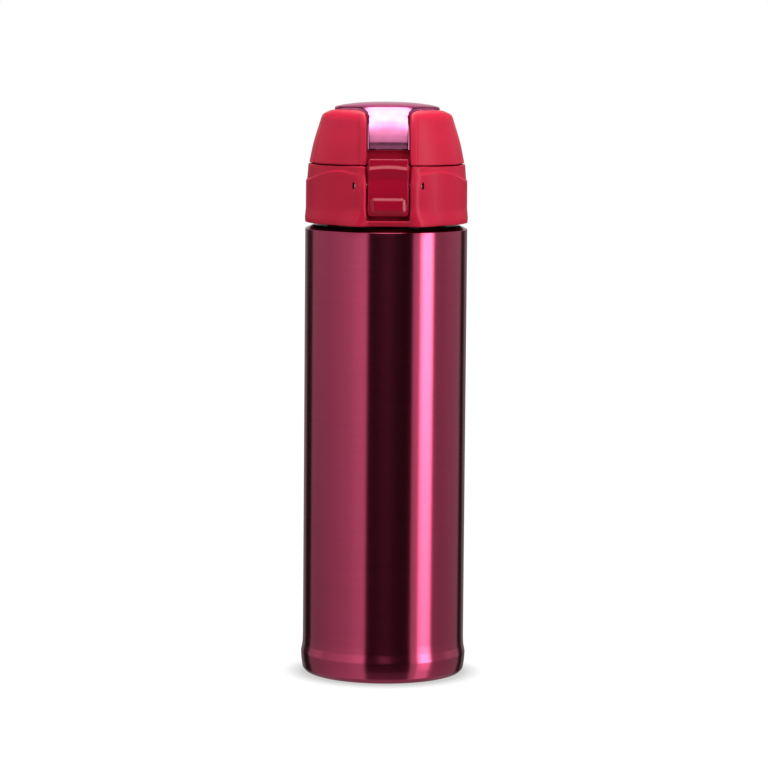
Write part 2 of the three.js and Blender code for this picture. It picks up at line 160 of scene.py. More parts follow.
def new_object(name, vertices, faces, material, smooth_deg=35):
    """Mesh object from mm vertices, smooth except at edges sharper than smooth_deg."""
    mesh = bpy.data.meshes.new(name)
    mesh.from_pydata((np.asarray(vertices, float) * MM).tolist(), [], faces)
    mesh.validate()
    mesh.shade_smooth()
    mesh.set_sharp_from_angle(angle=math.radians(smooth_deg))
    mesh.materials.append(material)
    obj = bpy.data.objects.new(name, mesh)
    bpy.context.scene.collection.objects.link(obj)
    return obj


def lathe_mesh(outline, steps, y=0.0):
    """Vertices and faces of an outline of (radius, height) turned about the vertical through (0, y)."""
    outline = np.asarray(outline, float)
    area = np.sum(outline[:, 0] * np.roll(outline[:, 1], -1) - np.roll(outline[:, 0], -1) * outline[:, 1])
    if area < 0:
        outline = outline[::-1]
    angles = 2 * math.pi * np.arange(steps) / steps
    vertices, rings = [], []
    for r, z in outline:
        if r < 1e-6:
            rings.append([len(vertices)] * steps)
            vertices.append((0, y, z))
            continue
        rings.append(list(range(len(vertices), len(vertices) + steps)))
        vertices.extend((r * math.cos(a), y + r * math.sin(a), z) for a in angles)
    faces = []
    for low, high in zip(rings, rings[1:] + rings[:1]):
        for k in range(steps):
            n = (k + 1) % steps
            face = [low[k], low[n], high[n], high[k]]
            face = [v for i, v in enumerate(face) if v != face[i - 1]]
            if len(face) > 2:
                faces.append(face)
    return vertices, faces


def turned(name, corners, material, steps=ROUND_STEPS, y=0.0):
    vertices, faces = lathe_mesh(fillet(corners), steps, y)
    return new_object(name, vertices, faces, material)


def swept(name, path, radius, material, sides=16):
    """Round wire along a list of points, with rounded ends."""
    path = np.asarray(path, float)
    tangent = np.gradient(path, axis=0)
    tangent /= np.linalg.norm(tangent, axis=1)[:, None]
    across = np.cross(tangent[0], (0.3, 0.5, 0.8))
    angles = 2 * math.pi * np.arange(sides) / sides
    vertices, faces = [], []
    cap_in, cap_out = np.sin(np.linspace(0.3, 1.57, 5)), -np.cos(np.linspace(0.3, 1.57, 5))
    rings = [(path[0] + tangent[0] * radius * o, tangent[0], i) for i, o in zip(cap_in, cap_out)]
    rings += [(p, t, 1.0) for p, t in zip(path[1:-1], tangent[1:-1])]
    ends = [(path[-1] - tangent[-1] * radius * o, tangent[-1], i) for i, o in zip(cap_in, cap_out)]
    rings += ends[::-1]
    for centre, direction, scale in rings:
        across = across - direction * (across @ direction)
        across /= np.linalg.norm(across)
        other = np.cross(direction, across)
        for a in angles:
            vertices.append(centre + radius * scale * (math.cos(a) * across + math.sin(a) * other))
    for i in range(len(rings) - 1):
        for k in range(sides):
            n = (k + 1) % sides
            faces.append([i * sides + k, i * sides + n, (i + 1) * sides + n, (i + 1) * sides + k])
    faces.append(list(range(sides))[::-1])
    faces.append(list(range(len(vertices) - sides, len(vertices))))
    return new_object(name, vertices, faces, material, smooth_deg=60)


def helix_bead(centre, z0, radius, turns, start_angle, steps_per_turn=180):
    """Points down the middle of a thread bead that fades in and out of the wall."""
    count = int(steps_per_turn * turns)
    t = np.linspace(0, 1, count)
    fade = np.minimum(1, np.minimum(t, 1 - t) / 0.08)
    r = centre - radius * 0.9 * (1 - np.sin(fade * math.pi / 2))
    angle = start_angle + 2 * math.pi * turns * t
    return np.stack([r * np.cos(angle), r * np.sin(angle), z0 + THREAD_LEAD * turns * t], 1)


def coil_points(radius, pitch, turns, steps_per_turn=40):
    """Helix about +Z centred on the origin."""
    angle = np.linspace(0, 2 * math.pi * turns, int(steps_per_turn * turns))
    z = pitch * (angle / (2 * math.pi) - turns / 2)
    return np.stack([radius * np.cos(angle), radius * np.sin(angle), z], 1)


# ---------------------------------------------------------------- distance fields
def outline_field(corners, cell=0.1, closed=True):
    """Signed distance (negative inside) to a filleted outline, as a function of its two coordinates.

    With closed False the side from the last corner back to the first isn't a wall, which is what an outline
    that starts and ends on the axis needs.
    """
    line = fillet(corners, closed=closed, step_deg=2)
    low, high = line.min(0) - 3, line.max(0) + 3
    if not closed:
        low[0] = -0.5
    u, v = (np.arange(low[i], high[i] + cell, cell) for i in (0, 1))
    pu, pv = np.meshgrid(u, v, indexing="ij")
    best = np.full(pu.shape, 1e9)
    inside = np.zeros(pu.shape, bool)
    ends = np.roll(line, -1, axis=0)
    for i, (a, b) in enumerate(zip(line, ends)):
        if a[1] != b[1]:
            crossing = (a[1] > pv) != (b[1] > pv)
            at = a[0] + (pv - a[1]) * (b[0] - a[0]) / (b[1] - a[1])
            inside ^= crossing & (pu < at)
        if not closed and i == len(line) - 1:
            continue
        side = b - a
        length2 = max(side @ side, 1e-12)
        t = np.clip(((pu - a[0]) * side[0] + (pv - a[1]) * side[1]) / length2, 0, 1)
        best = np.minimum(best, (pu - a[0] - t * side[0]) ** 2 + (pv - a[1] - t * side[1]) ** 2)
    table = np.where(inside, -1, 1) * np.sqrt(best)

    def field(p, q):
        fu = np.clip((p - low[0]) / cell, 0, len(u) - 1.001)
        fv = np.clip((q - low[1]) / cell, 0, len(v) - 1.001)
        iu, iv = fu.astype(int), fv.astype(int)
        du, dv = fu - iu, fv - iv
        lower = table[iu, iv] * (1 - du) + table[iu + 1, iv] * du
        upper = table[iu, iv + 1] * (1 - du) + table[iu + 1, iv + 1] * du
        return lower * (1 - dv) + upper * dv

    return field


def weld(a, b, radius):
    """Union with a concave fillet."""
    return np.maximum(radius, np.minimum(a, b)) - np.hypot(
        np.maximum(radius - a, 0), np.maximum(radius - b, 0)
    )


def meet(a, b, radius):
    """Intersection with a rounded edge."""
    return np.minimum(-radius, np.maximum(a, b)) + np.hypot(
        np.maximum(radius + a, 0), np.maximum(radius + b, 0)
    )


def rounded_box(sizes, radius):
    """Distance to a box from the signed distances to its pairs of sides."""
    q = [s + radius for s in sizes]
    outside = np.sqrt(sum(np.maximum(s, 0) ** 2 for s in q))
    return outside + np.minimum(np.maximum.reduce(q), 0) - radius


def smooth_step(x, start, end):
    t = np.clip((x - start) / (end - start), 0, 1)
    return t * t * (3 - 2 * t)


def rod_x(y, z, at_y, at_z, radius, x, from_x, to_x, edge=0.25):
    """Rods along X on both sides of the middle plane, from_x <= |x| <= to_x."""
    middle, half = (from_x + to_x) / 2, (to_x - from_x) / 2
    return rounded_box([np.hypot(y - at_y, z - at_z) - radius, np.abs(np.abs(x) - middle) - half], edge)


def sample(field, low, high, step):
    """Values of the field on a grid that has to hold its whole surface."""
    axes = [np.arange(a, b + step, step) for a, b in zip(low, high)]
    x, y = np.meshgrid(axes[0], axes[1], indexing="ij")
    values = np.empty([len(a) for a in axes], np.float32)
    for k, z in enumerate(axes[2]):
        values[:, :, k] = field(x, y, np.full(x.shape, z))
    inside = values < 0
    if not inside.any():
        raise ValueError("the field has no inside")
    if any(inside.take(end, axis).any() for axis in range(3) for end in (0, -1)):
        raise ValueError("the surface runs out of the grid")
    return values


def crossed_cells(values):
    """Cells that the surface crosses, and in each the middle of the crossings on its edges, from 0 to 1."""
    inside = values < 0
    corners = [(i, j, k) for i in (0, 1) for j in (0, 1) for k in (0, 1)]

    def shifted(corner):
        return inside[tuple(slice(o, n - 1 + o) for o, n in zip(corner, inside.shape))]

    count = sum(shifted(c).astype(np.int8) for c in corners)
    cells = np.argwhere((count > 0) & (count < 8))
    total, crossings = np.zeros(cells.shape), np.zeros(len(cells))
    for a in corners:
        for axis in range(3):
            if a[axis]:
                continue
            b = tuple(1 if i == axis else c for i, c in enumerate(a))
            va, vb = (values[tuple((cells + c).T)] for c in (a, b))
            crossed = (va < 0) != (vb < 0)
            point = np.tile(np.array(a, float), (len(cells), 1))
            point[:, axis] = np.where(crossed, va / np.where(crossed, va - vb, 1), 0)
            total += point * crossed[:, None]
            crossings += crossed
    return cells, total / crossings[:, None]


def quads_between(cells, inside):
    """A quad round every grid edge that the surface crosses, through the vertices of its four cells."""
    index = np.full([n - 1 for n in inside.shape], -1)
    index[tuple(cells.T)] = np.arange(len(cells))
    faces = []
    for axis in range(3):
        u, v = [i for i in range(3) if i != axis]
        last = inside.shape[axis] - 1
        first, second = (inside.take(range(o, last + o), axis) for o in (0, 1))
        edges = np.argwhere(first != second)
        edges = edges[(edges[:, u] > 0) & (edges[:, v] > 0)]
        quad = []
        for du, dv in ((1, 1), (0, 1), (0, 0), (1, 0)):
            cell = edges.copy()
            cell[:, u] -= du
            cell[:, v] -= dv
            quad.append(index[tuple(cell.T)])
        quad = np.stack(quad, 1)
        flip = first[tuple(edges.T)] == (axis == 1)
        quad[flip] = quad[flip][:, ::-1]
        faces.append(quad)
    return np.concatenate(faces)


def pull_onto(field, points, reach, rounds=4, h=0.02):
    """Moves points along the field's slope onto its surface, by no more than reach a round."""
    for _ in range(rounds):
        here = field(*points.T)
        slope = np.stack([(field(*(points + h * e).T) - here) / h for e in np.eye(3)], 1)
        steepness = np.maximum((slope**2).sum(1), 0.25)
        move = -(here / steepness)[:, None] * slope
        length = np.linalg.norm(move, axis=1)
        points = points + move * np.minimum(1, reach / np.maximum(length, 1e-9))[:, None]
    return points


def grid_mesh(field, low, high, step):
    """Quads of the surface field(x, y, z) = 0: one vertex in each crossed cell, pulled onto the surface."""
    values = sample(field, low, high, step)
    cells, places = crossed_cells(values)
    points = np.array(low) + step * (cells + places)
    return pull_onto(field, points, 0.4 * step), quads_between(cells, values < 0)


def moulded(name, field, low, high, material, step=GRID_STEP):
    points, faces = grid_mesh(field, low, high, step)
    return new_object(name, points, faces.tolist(), material, smooth_deg=50)


# ---------------------------------------------------------------- materials
class Nodes:
    """A node tree and short ways to add nodes to it. Inputs are named, or i0, i1 and so on by their order."""

    def __init__(self, tree):
        self.tree = tree

    def add(self, kind, settings=None, **inputs):
        node = self.tree.nodes.new(kind)
        for key, value in (settings or {}).items():
            setattr(node, key, value)
        for key, value in inputs.items():
            numbered = key[0] == "i" and key[1:].isdigit()
            self.set(node.inputs[int(key[1:]) if numbered else key], value)
        return node

    def set(self, socket, value):
        if isinstance(value, bpy.types.NodeSocket):
            self.tree.links.new(value, socket)
        else:
            socket.default_value = value

    def math(self, operation, a, b=0.0):
        return self.add("ShaderNodeMath", {"operation": operation}, i0=a, i1=b).outputs[0]


class Shader(Nodes):
    """A material on its Principled shader, with textures in object coordinates."""

    def __init__(self, name, **sockets):
        self.material = bpy.data.materials.new(name)
        self.material.use_nodes = True
        super().__init__(self.material.node_tree)
        self.bsdf = self.tree.nodes["Principled BSDF"]
        for socket, value in sockets.items():
            self.bsdf.inputs[socket.replace("_", " ")].default_value = value
        self.object_coordinates = self.add("ShaderNodeTexCoord").outputs["Object"]

    def drive(self, socket, value):
        self.set(self.bsdf.inputs[socket], value)

    def scaled(self, x, y, z):
        """Object coordinates stretched by x, y, z."""
        settings = {"operation": "MULTIPLY"}
        return self.add("ShaderNodeVectorMath", settings, i0=self.object_coordinates, i1=(x, y, z)).outputs[0]

    def round_the_axis(self, around, along):
        """Coordinates on a stretched cylinder round Z, for marks left by turning or brushing."""
        parts = self.add("ShaderNodeSeparateXYZ", i0=self.object_coordinates).outputs
        angle = self.math("ARCTAN2", parts[0], parts[1])
        turns = self.math("SINE", angle), self.math("COSINE", angle)
        height = self.math("MULTIPLY", parts[2], along)
        x, y = (self.math("MULTIPLY", t, around) for t in turns)
        return self.add("ShaderNodeCombineXYZ", i0=x, i1=y, i2=height).outputs[0]

    def noise(self, vector, scale=1.0, detail=3.0, roughness=0.5):
        node = self.add("ShaderNodeTexNoise", Vector=vector, Scale=scale, Detail=detail, Roughness=roughness)
        return node.outputs[0]

    def spread(self, value, low, high, from_low=0.3, from_high=0.7):
        node = self.add("ShaderNodeMapRange", i0=value, i1=from_low, i2=from_high, i3=low, i4=high)
        return node.outputs[0]

    def mix(self, factor, a, b):
        node = self.add("ShaderNodeMix", {"data_type": "RGBA"})
        for socket, value in ((node.inputs[0], factor), (node.inputs[6], a), (node.inputs[7], b)):
            self.set(socket, value)
        return node.outputs[2]

    def bump(self, height, strength, distance):
        node = self.add("ShaderNodeBump", Strength=strength, Distance=distance, Height=height)
        self.drive("Normal", node.outputs[0])


def rgb(r, g, b):
    return (r, g, b, 1.0)


def lacquered_steel():
    """Steel brushed round the axis under a clear raspberry lacquer, with a painted shade at the shoulder
    under the cap.
    """
    s = Shader("raspberry_lacquer", Metallic=1.0, Anisotropic=0.85, Coat_Roughness=0.08)
    s.bsdf.inputs["Anisotropic Rotation"].default_value = 0.25
    tangent = s.add("ShaderNodeTangent", {"direction_type": "RADIAL", "axis": "Z"})
    s.drive("Tangent", tangent.outputs[0])
    hairlines = s.noise(s.round_the_axis(1.3, 9000.0), 1.0, 4.0, 0.7)
    broad = s.noise(s.round_the_axis(0.6, 900.0), 1.0, 2.0)
    patches = s.noise(s.scaled(28, 28, 28), 1.0, 2.0)
    tone = s.math("ADD", s.spread(hairlines, -0.16, 0.16), s.spread(broad, -0.1, 0.1))
    factor = s.math("ADD", s.math("ADD", tone, 0.5), s.spread(patches, -0.1, 0.1))
    colour = s.mix(factor, rgb(0.53, 0.05, 0.132), rgb(0.61, 0.066, 0.166))
    # painted shade: near the shoulder, where ambient occlusion finds the cap overhead, the base colour is
    # blended to a near-black red and the coat is turned down, standing in for the cap's shadow
    open_sky = s.add("ShaderNodeAmbientOcclusion", {"samples": 6}, Distance=0.006).outputs["AO"]
    height = s.add("ShaderNodeSeparateXYZ", i0=s.object_coordinates).outputs[2]
    painted_cap_shade = s.math("MULTIPLY", s.spread(open_sky, 1, 0, 0.72, 0.98), s.spread(height, 0, 1, 0.175, 0.179))
    s.drive("Base Color", s.mix(painted_cap_shade, colour, rgb(0.25, 0.010, 0.025)))
    s.drive("Coat Weight", s.math("MULTIPLY", s.math("SUBTRACT", 1.0, painted_cap_shade), 0.45))
    s.drive("Roughness", s.spread(hairlines, 0.17, 0.23))
    s.bump(hairlines, 0.06, 0.00002)
    return s.material


def bare_steel(name="bare_steel", lines=6000.0, rough=(0.24, 0.36)):
    """Stainless steel with turning marks round the axis."""
    s = Shader(name, Metallic=1.0, Anisotropic=0.6, Anisotropic_Rotation=0.25)
    tangent = s.add("ShaderNodeTangent", {"direction_type": "RADIAL", "axis": "Z"})
    s.drive("Tangent", tangent.outputs[0])
    marks = s.noise(s.round_the_axis(1.0, lines), 1.0, 4.0, 0.65)
    stains = s.noise(s.scaled(60, 60, 60), 1.0, 3.0)
    s.drive("Base Color", s.mix(s.spread(stains, 0, 1), rgb(0.56, 0.56, 0.57), rgb(0.66, 0.655, 0.65)))
    s.drive("Roughness", s.spread(marks, *rough))
    s.bump(marks, 0.15, 0.00002)
    return s.material


def wire_steel():
    """Drawn spring wire and pins."""
    s = Shader("wire_steel", Metallic=1.0)
    marks = s.noise(s.scaled(4000, 900, 900), 1.0, 3.0)
    s.drive("Base Color", s.mix(s.spread(marks, 0, 1), rgb(0.5, 0.5, 0.51), rgb(0.7, 0.7, 0.7)))
    s.drive("Roughness", s.spread(marks, 0.18, 0.34))
    s.bump(marks, 0.1, 0.00001)
    return s.material


def foil():
    """Crinkled bright foil wrapped round the inner bottle."""
    s = Shader("crinkled_foil", Metallic=1.0)
    edges = {"feature": "DISTANCE_TO_EDGE"}
    creases = s.add("ShaderNodeTexVoronoi", edges, Vector=s.object_coordinates, Scale=160.0).outputs[0]
    s.drive("Base Color", s.mix(s.spread(creases, 0, 1, 0, 0.1), rgb(0.7, 0.7, 0.7), rgb(0.9, 0.9, 0.9)))
    s.drive("Roughness", s.spread(creases, 0.34, 0.14, 0, 0.1))
    s.bump(creases, 0.5, 0.0003)
    return s.material


def red_plastic(name, deep, pale, rough, specular):
    """Moulded plastic with a faint flow of colour and a fine surface grain, with painted shade darkening its
    crevices.
    """
    s = Shader(name, IOR=1.5, Specular_IOR_Level=specular)
    flow = s.noise(s.scaled(35, 35, 70), 1.0, 3.0)
    grain = s.noise(s.object_coordinates, 1700.0, 2.0)
    ripple = s.noise(s.object_coordinates, 160.0, 1.0)
    # painted shade: where ambient occlusion is low, in crevices, seams and pockets, the base colour is
    # blended to half its depth
    open_sky = s.add("ShaderNodeAmbientOcclusion", {"samples": 6}, Distance=0.004).outputs["AO"]
    colour = s.mix(s.spread(flow, 0, 1), rgb(*deep), rgb(*pale))
    painted_crevice_shade = rgb(*(v * 0.5 for v in deep))
    s.drive("Base Color", s.mix(s.spread(open_sky, 0, 1, 0.3, 0.8), painted_crevice_shade, colour))
    s.drive("Roughness", s.spread(grain, *rough))
    height = s.math("ADD", s.math("MULTIPLY", grain, 0.12), ripple)
    s.bump(height, 0.08, 0.00004)
    return s.material


def pink_chrome():
    """Bright plating under a raspberry tint."""
    s = Shader("pink_plating", Metallic=1.0)
    s.bsdf.inputs["Specular Tint"].default_value = rgb(1.0, 0.45, 0.62)
    haze = s.noise(s.object_coordinates, 300.0, 3.0)
    wave = s.noise(s.scaled(60, 60, 60), 1.0, 1.0)
    s.drive("Base Color", s.mix(s.spread(haze, 0, 1), rgb(0.65, 0.17, 0.34), rgb(0.70, 0.20, 0.39)))
    s.drive("Roughness", s.spread(haze, 0.07, 0.12))
    s.bump(wave, 0.1, 0.0002)
    return s.material


def grey_plastic():
    """Food-grade moulded plastic with a fine matt texture."""
    s = Shader("grey_plastic", IOR=1.49)
    grain = s.noise(s.object_coordinates, 2600.0, 2.0)
    flow = s.noise(s.scaled(50, 50, 50), 1.0, 2.0)
    s.drive("Base Color", s.mix(s.spread(flow, 0, 1), rgb(0.20, 0.195, 0.20), rgb(0.245, 0.24, 0.245)))
    s.drive("Roughness", s.spread(grain, 0.34, 0.5))
    s.bump(grain, 0.15, 0.00004)
    return s.material


def silicone():
    """Milky soft silicone."""
    s = Shader("silicone", Subsurface_Weight=0.35, Subsurface_Scale=0.002, IOR=1.41)
    cloud = s.noise(s.scaled(90, 90, 90), 1.0, 3.0)
    grain = s.noise(s.object_coordinates, 1800.0, 2.0)
    s.drive("Base Color", s.mix(s.spread(cloud, 0, 1), rgb(0.72, 0.70, 0.68), rgb(0.80, 0.785, 0.77)))
    s.drive("Roughness", s.spread(grain, 0.38, 0.55))
    s.bump(grain, 0.12, 0.00004)
    return s.material


LACQUER = lacquered_steel()
STEEL = bare_steel()
FINE_STEEL = bare_steel("polished_steel", 3000.0, (0.12, 0.2))
WIRE = wire_steel()
FOIL = foil()
RED = red_plastic("red_plastic", (0.65, 0.0095, 0.048), (0.72, 0.0125, 0.056), (0.36, 0.44), 0.24)
# the button's plastic: glossier than the housing's, which is real, and with a deeper base colour that is
# painted shade for the button's face
POLISHED_SHADED_RED = red_plastic("polished_red_painted_shade", (0.46, 0.005, 0.030), (0.50, 0.007, 0.036), (0.16, 0.22), 0.36)
CHROME = pink_chrome()
GREY = grey_plastic()
SILICONE = silicone()


def place(piece, body, slot, *nodes):
    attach(piece, body)
    if nodes:
        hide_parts(*nodes)
    return piece


# ---------------------------------------------------------------- flask
SHELL_WALL = 0.5
NECK_R = 22.8
LINER_R = 29.0
LINER_WALL = 0.45
LINER_NECK_R = 20.6
FOOT_INNER_R = 29.4


def shell_body():
    """Lacquered outer shell from the foot ring to the shoulder."""
    wall = SHELL_WALL
    inner = BODY_R - wall
    return turned(
        "shell_body",
        [
            (FOOT_INNER_R, 0, 0.1), (29.9, 0, 0.3), (31.3, 0.45, 1.5), (32.5, 1.8, 1.6),
            (FLARE_R - 0.15, 5.2, 12), (FLARE_R + 0.04, 8.4, 2.6), (BODY_R + 0.12, 11.6, 4),
            (BODY_R, 15, 20), (BODY_R, SHOULDER_Z - 1.5, 0.25), (29.4, SHOULDER_Z, 0.8),
            (24.0, SHOULDER_Z, 0.3), (24.0, SHOULDER_Z - wall, 0), (29.2, SHOULDER_Z - wall, 0.6),
            (inner, SHOULDER_Z - 2.1, 0.5), (inner, 14, 4), (FLARE_R - wall, 8.3, 2.6),
            (31.95, 2.2, 1.2), (30.9, wall + 0.4, 0.6), (FOOT_INNER_R + wall, wall, 0.1),
            (FOOT_INNER_R + wall, 3.2, 0), (FOOT_INNER_R, 3.2, 0),
        ],
        LACQUER,
    )


def shell_neck():
    """Bare steel neck with a rolled lip."""
    inner = NECK_R - SHELL_WALL
    return turned(
        "shell_neck",
        [
            (23.9, SHOULDER_Z - 0.05, 0), (23.7, SHOULDER_Z + 0.05, 0.1),
            (NECK_R, SHOULDER_Z + 0.5, 0.8), (NECK_R, LIP_Z, 0.7),
            (LINER_NECK_R + 0.75, LIP_Z, 0.2), (LINER_NECK_R + 0.75, LIP_Z - 0.6, 0.1),
            (inner, LIP_Z - 0.9, 0.2), (inner, SHOULDER_Z - 0.3, 0.8), (23.9, SHOULDER_Z - 0.45, 0),
        ],
        STEEL,
    )


def neck_thread(start):
    path = helix_bead(23.1, 186, 0.9, 0.9, math.pi * start)
    return swept(f"neck_thread_{start + 1}", path, 0.88, STEEL, sides=20)


def inner_liner():
    """Inner bottle from the joint with its bottom to the lip."""
    outer, neck = LINER_R + LINER_WALL, LINER_NECK_R + LINER_WALL
    return turned(
        "inner_liner",
        [
            (outer, 17.3, 0), (outer, 173.5, 4), (28.2, 176.3, 3), (22.3, 178.8, 2),
            (neck, 180.6, 1.4), (neck, LIP_Z - 0.2, 0.2), (LINER_NECK_R, LIP_Z - 0.2, 0.2),
            (LINER_NECK_R, 180.4, 1.8), (21.95, 178.35, 2.4), (27.9, 175.9, 2.6),
            (LINER_R, 173.4, 3.5), (LINER_R, 17.3, 0),
        ],
        FINE_STEEL,
    )


def liner_bottom():
    """Dished bottom of the inner bottle."""
    outer = LINER_R + LINER_WALL
    return turned(
        "liner_bottom",
        [
            (0, 6.8, 0), (19, 6.8, 10), (27.5, 9.6, 8), (outer, 15.5, 4), (outer, 17, 0.1),
            (LINER_R, 17, 0.1), (LINER_R, 15.5, 4), (27.1, 10, 8), (18.8, 7.3, 10), (0, 7.3, 0),
        ],
        FINE_STEEL,
    )


def outer_bottom():
    """Pressed bottom of the outer shell, with a raised middle and the hole the air was drawn through."""
    edge = FOOT_INNER_R - 0.25
    return turned(
        "outer_bottom",
        [
            (1.3, 3.3, 0.1), (8.6, 3.3, 0.8), (9.6, 2, 0.8), (edge, 2, 0.2), (edge, 2.5, 0.2),
            (10, 2.5, 0.8), (9, 3.8, 0.8), (1.3, 3.8, 0.1),
        ],
        STEEL,
        128,
    )


def base_plate():
    """Cover plate inside the foot ring, with a pressed groove."""
    edge = FOOT_INNER_R - 0.2
    return turned(
        "base_plate",
        [
            (0, 1.0, 0), (20.2, 1.0, 0.3), (20.8, 0.75, 0.3), (22.2, 0.75, 0.3), (22.8, 1.0, 0.3),
            (27.2, 1.0, 1.2), (edge, 0.6, 0.25), (edge, 1.15, 0.25), (27.6, 1.45, 0.5),
            (0, 1.45, 0),
        ],
        STEEL,
    )


def vacuum_seal():
    """Plug in the evacuation hole."""
    return turned(
        "vacuum_seal",
        [
            (0, 2.3, 0), (3.6, 2.3, 0.5), (4, 2.7, 0.3), (3.6, 3, 0.2), (1, 3, 0.2), (1, 4.4, 0.4),
            (0, 4.4, 0),
        ],
        WIRE,
        64,
    )


def getter():
    return turned("getter", [(0, 5, 0), (4, 5, 0.5), (4, 6.5, 0.3), (0, 6.5, 0)], WIRE, 64)


def foil_shield():
    return turned("foil_shield", [(30.5, 18, 0), (30.7, 18, 0), (30.7, 170, 0), (30.5, 170, 0)], FOIL)


def flask():
    place(shell_body(), "flask", "body_lacquer", "outer_shell")
    place(shell_neck(), "flask", "bare_steel", "outer_shell")
    for start in range(THREAD_STARTS):
        place(neck_thread(start), "flask", "bare_steel", "outer_shell")
    place(inner_liner(), "flask", "bare_steel", "inner_liner")
    place(liner_bottom(), "flask", "bare_steel", "liner_bottom")
    place(outer_bottom(), "flask", "bare_steel", "outer_bottom")
    place(base_plate(), "flask", "bare_steel", "base_plate")
    place(vacuum_seal(), "flask", "bare_steel", "vacuum_seal")
    place(getter(), "flask", "bare_steel", "getter")
    place(foil_shield(), "flask", "foil", "foil_shield")


# ---------------------------------------------------------------- moulded pieces
LID_EDGE_Z = LID_BOTTOM_Z - 0.25
BAND_CORNERS = [
    (0, LID_EDGE_Z, 0), (31.15, LID_EDGE_Z, 0.25), (29.42, 214.4, 50), (25.95, 225.4, 3.0),
    (DISC_R, 227.5, 8), (0, 228.6, 0),
]
PANEL_CORNERS = [
    (0, LID_EDGE_Z, 0), (31.6, LID_EDGE_Z, 0.3), (29.88, 214.4, 50), (26.7, 225.7, 6.0),
    (DISC_R, 227.85, 8), (0, 228.6, 0),
]
lid_profile = outline_field(BAND_CORNERS, closed=False)
panel_profile = outline_field(PANEL_CORNERS, closed=False)


def skirt_arch(ax, y):
    """How far the skirt's top edge rises on both sides of the button."""
    azimuth = np.degrees(np.arctan2(ax, -y))
    outward = 1 - smooth_step(azimuth, ARCH_AZIMUTH, 84)
    inward = smooth_step(azimuth, ARCH_AZIMUTH, 16)
    beyond = azimuth > ARCH_AZIMUTH
    return np.where(beyond, ARCH_HEIGHT * outward, ARCH_HEIGHT - ARCH_HEIGHT / 2 * inward)


def frame_front(ax, z):
    """Y of the frame round the button, which leans back above it and under it."""
    under_button = 1 - smooth_step(ax, 7, 11)
    lean = 1.5 * smooth_step(z, 195, 207) + 2.0 * under_button * smooth_step(z, 186.0, 181.8)
    return FRAME_Y + lean


def frame_block(ax, y, z, front):
    """Block behind that front, its sides spreading backwards and flaring out at the foot."""
    half = 11.4 + 2.6 * smooth_step(z, 190, 181)
    side = (ax - half - 0.42 * (y - front)) * 0.92
    return meet(side, y + 27.0, 0.2)


def hinge_bore(y, z):
    return PIN_BORE_R - np.hypot(y - HINGE_Y, z - HINGE_Z)


def cap_housing_field():
    """Screw cap: a ring under a slightly wider skirt, with the button's frame and the hinge lugs."""
    bottom, top = CAP_BOTTOM_Z + 0.2, CAP_TOP_Z + 0.1
    ring = outline_field(
        [
            (30.5, bottom, 0.15), (31.95, bottom, 0.4), (31.9, 198.6, 10), (31.35, top, 0.3),
            (CAP_MOUTH_R, top, 0.35), (CAP_MOUTH_R, CAP_SEAT_Z, 0.15),
            (CAP_INNER_R, CAP_SEAT_Z, 0.3), (CAP_INNER_R, 182.5, 0.3),
        ]
    )
    skirt = outline_field(
        [
            (31, bottom, 0), (32.55, bottom, 0.5), (32.68, 184, 6), (32.32, 188, 12),
            (32.3, 199.2, 0.4), (31, 199.2, 0),
        ]
    )

    def field(x, y, z):
        r, ax = np.hypot(x, y), np.abs(x)
        skirt_z = z - skirt_arch(ax, y) * smooth_step(z, 189, 197)
        shape = weld(ring(r, z), skirt(r, skirt_z), 0.35)
        front = frame_front(ax, z)
        shape = meet(weld(shape, frame_block(ax, y, z, front), 4.0), front - y, 1.7)
        shape = meet(meet(shape, z - top, 0.35), bottom - z, 0.5)
        lugs = rod_x(y, z, HINGE_Y, HINGE_Z, KNUCKLE_R, x, *CAP_KNUCKLES)
        shape = weld(shape, lugs, 0.6)
        pocket = rounded_box([ax - POCKET_HALF + 0.15, y + 28.9, POCKET_BOTTOM_Z - z], 0.6)
        shape = meet(shape, -pocket, 1.0 + 0.6 * smooth_step(z, 186, 189))
        # the inside: wide up to the stopper's seat, narrower above, flat behind the button
        behind_button = POCKET_BACK_Y - y
        hollow = np.maximum.reduce([r - CAP_INNER_R, behind_button, z - CAP_SEAT_Z])
        shape = meet(shape, -hollow, 0.1)
        mouth = np.maximum.reduce([r - CAP_MOUTH_R, behind_button, CAP_SEAT_Z - 0.5 - z])
        shape = meet(shape, -mouth, 0.3)
        relief = rod_x(y, z, HINGE_Y, HINGE_Z, KNUCKLE_ROOM_R, x, -8.0, 8.0, 0.1)
        shape = meet(shape, -relief, 0.2)
        shape = np.maximum(shape, hinge_bore(y, z))
        from_pivot = np.hypot(y - PIVOT_Y, z - PIVOT_Z)
        past_end = ax - BUTTON_PIN_HOLE_HALF
        pin_hole = np.maximum(from_pivot - BUTTON_PIN_R - 0.05, past_end)
        counterbore = rounded_box([from_pivot - 1.6, past_end, 12.6 - ax], 0.1)
        return meet(meet(shape, -pin_hole, 0.1), -counterbore, 0.25)

    return field


def tongue_radius(x, y, z):
    """Radius read off the lid's profile for the trim: flat across the front, round on top."""
    roundness = 0.2 + 0.8 * smooth_step(z, 219, 227.5)
    return np.where(y < 0, np.sqrt(y**2 + roundness * x**2), np.hypot(x, y))


trim_profile = outline_field(
    [
        (0, 200, 0), (31.2, 200, 0), (29.75, 211.9, 0), (29.2, 215, 30), (28.45, 218, 30),
        (27.45, 221, 20), (26.2, 223.5, 10), (24.7, 225.45, 6), (22.6, 227.25, 6),
        (20.4, 228.45, 6), (17.4, 229.1, 20), (12.6, 229.75, 40), (7.35, 230.12, 60), (0, TOP_Z, 0),
    ],
    closed=False,
)


def trim_surface(x, y, z):
    """Signed distance to the trim's outer surface."""
    return trim_profile(tongue_radius(x, y, z), z)


